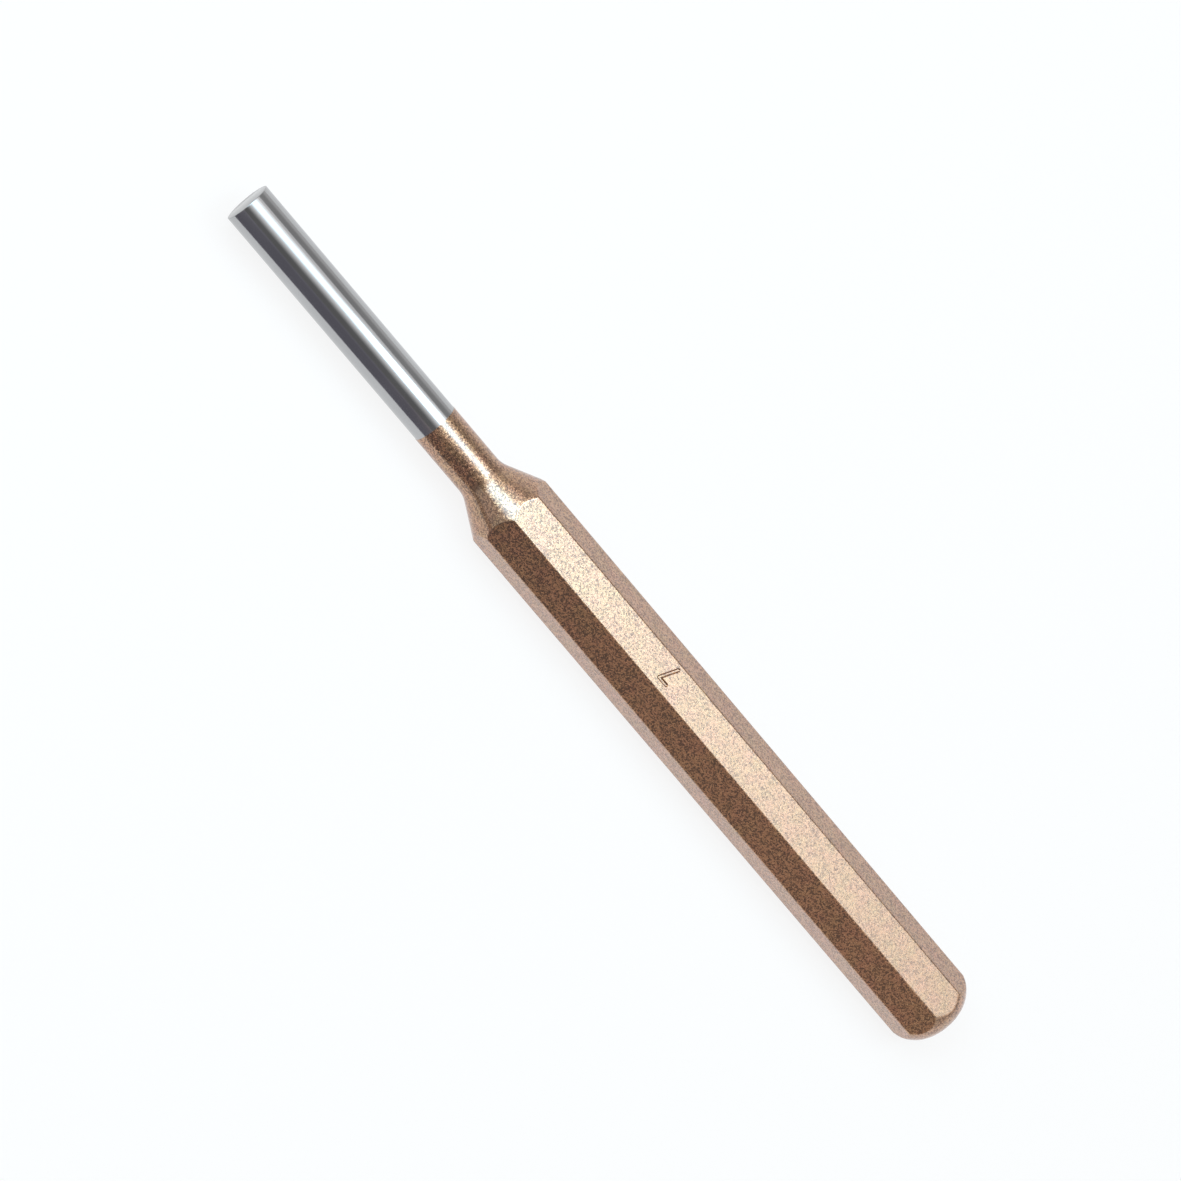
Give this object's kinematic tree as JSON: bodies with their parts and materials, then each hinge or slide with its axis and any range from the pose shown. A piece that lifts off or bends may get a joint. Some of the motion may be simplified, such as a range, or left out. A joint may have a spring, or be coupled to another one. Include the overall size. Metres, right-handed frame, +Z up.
{
  "type": "pin punch",
  "caption": "Parallel pin punch: a round bare-steel pin and conical neck turned on the end of a bronze-painted octagonal bar with a rounded striking end.",
  "frame": {"origin": "on the surface that the punch lies on, under the middle of its length and width", "axes": "+X along the punch from the pin's tip to the striking face, +Z up, square to the octagon's flats that lie on and face away from the surface"},
  "size_m": [0.1542, 0.012, 0.012],
  "materials": {
    "bronze_paint": "satin",
    "ground_steel": "polished"
  },
  "bodies": {
    "root": {"pin_punch": "bronze_paint"}
  },
  "joints": []
}
